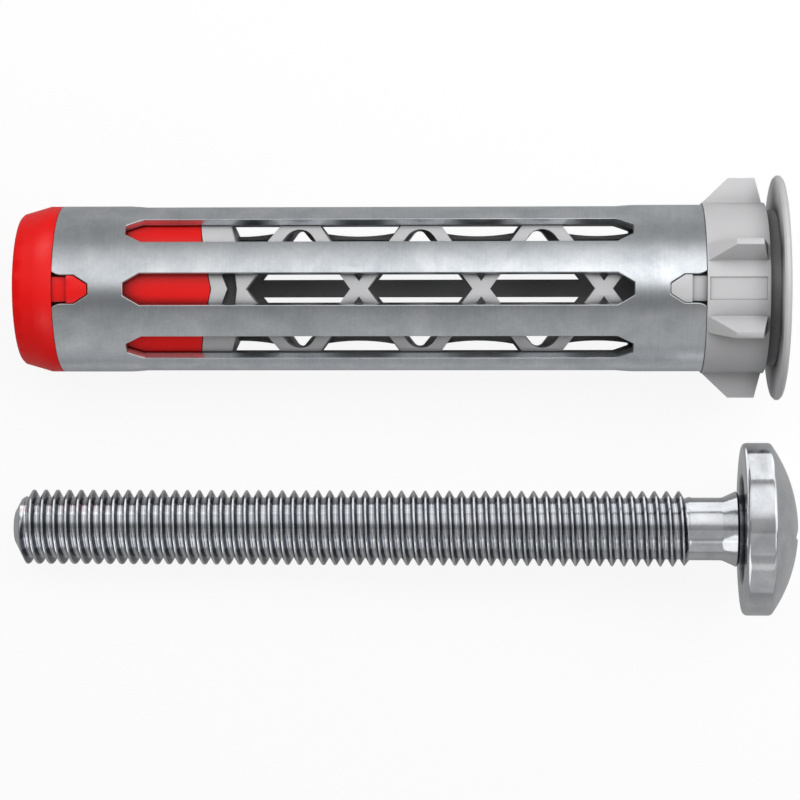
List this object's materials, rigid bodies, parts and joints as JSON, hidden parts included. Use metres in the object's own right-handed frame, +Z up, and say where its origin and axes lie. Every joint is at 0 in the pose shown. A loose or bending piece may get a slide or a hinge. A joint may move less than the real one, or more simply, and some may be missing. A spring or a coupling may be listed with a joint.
{
  "type": "metal hollow wall anchor",
  "caption": "Hollow wall anchor: slotted steel sleeve, plastic nose cap with nut, lattice cage with finned collar and flange, and its machine screw beside it.",
  "frame": {"origin": "centre of the pair's footprint on the surface that it lies on", "axes": "+X from the nose cap towards the flange and the screw head, +Y across from the screw to the anchor, +Z up"},
  "size_m": [0.0522, 0.029, 0.0147],
  "materials": {
    "galvanised_sheet": "hot-dip galvanised, rolled sheet",
    "red_plastic": "moulded, satin",
    "grey_plastic": "moulded, satin",
    "zinc_plated_steel": "bright zinc plating"
  },
  "bodies": {
    "root": {"sleeve": "galvanised_sheet", "end_cap": "red_plastic", "nut": "zinc_plated_steel", "flanged_cage": "grey_plastic", "screw": "zinc_plated_steel"}
  },
  "joints": []
}
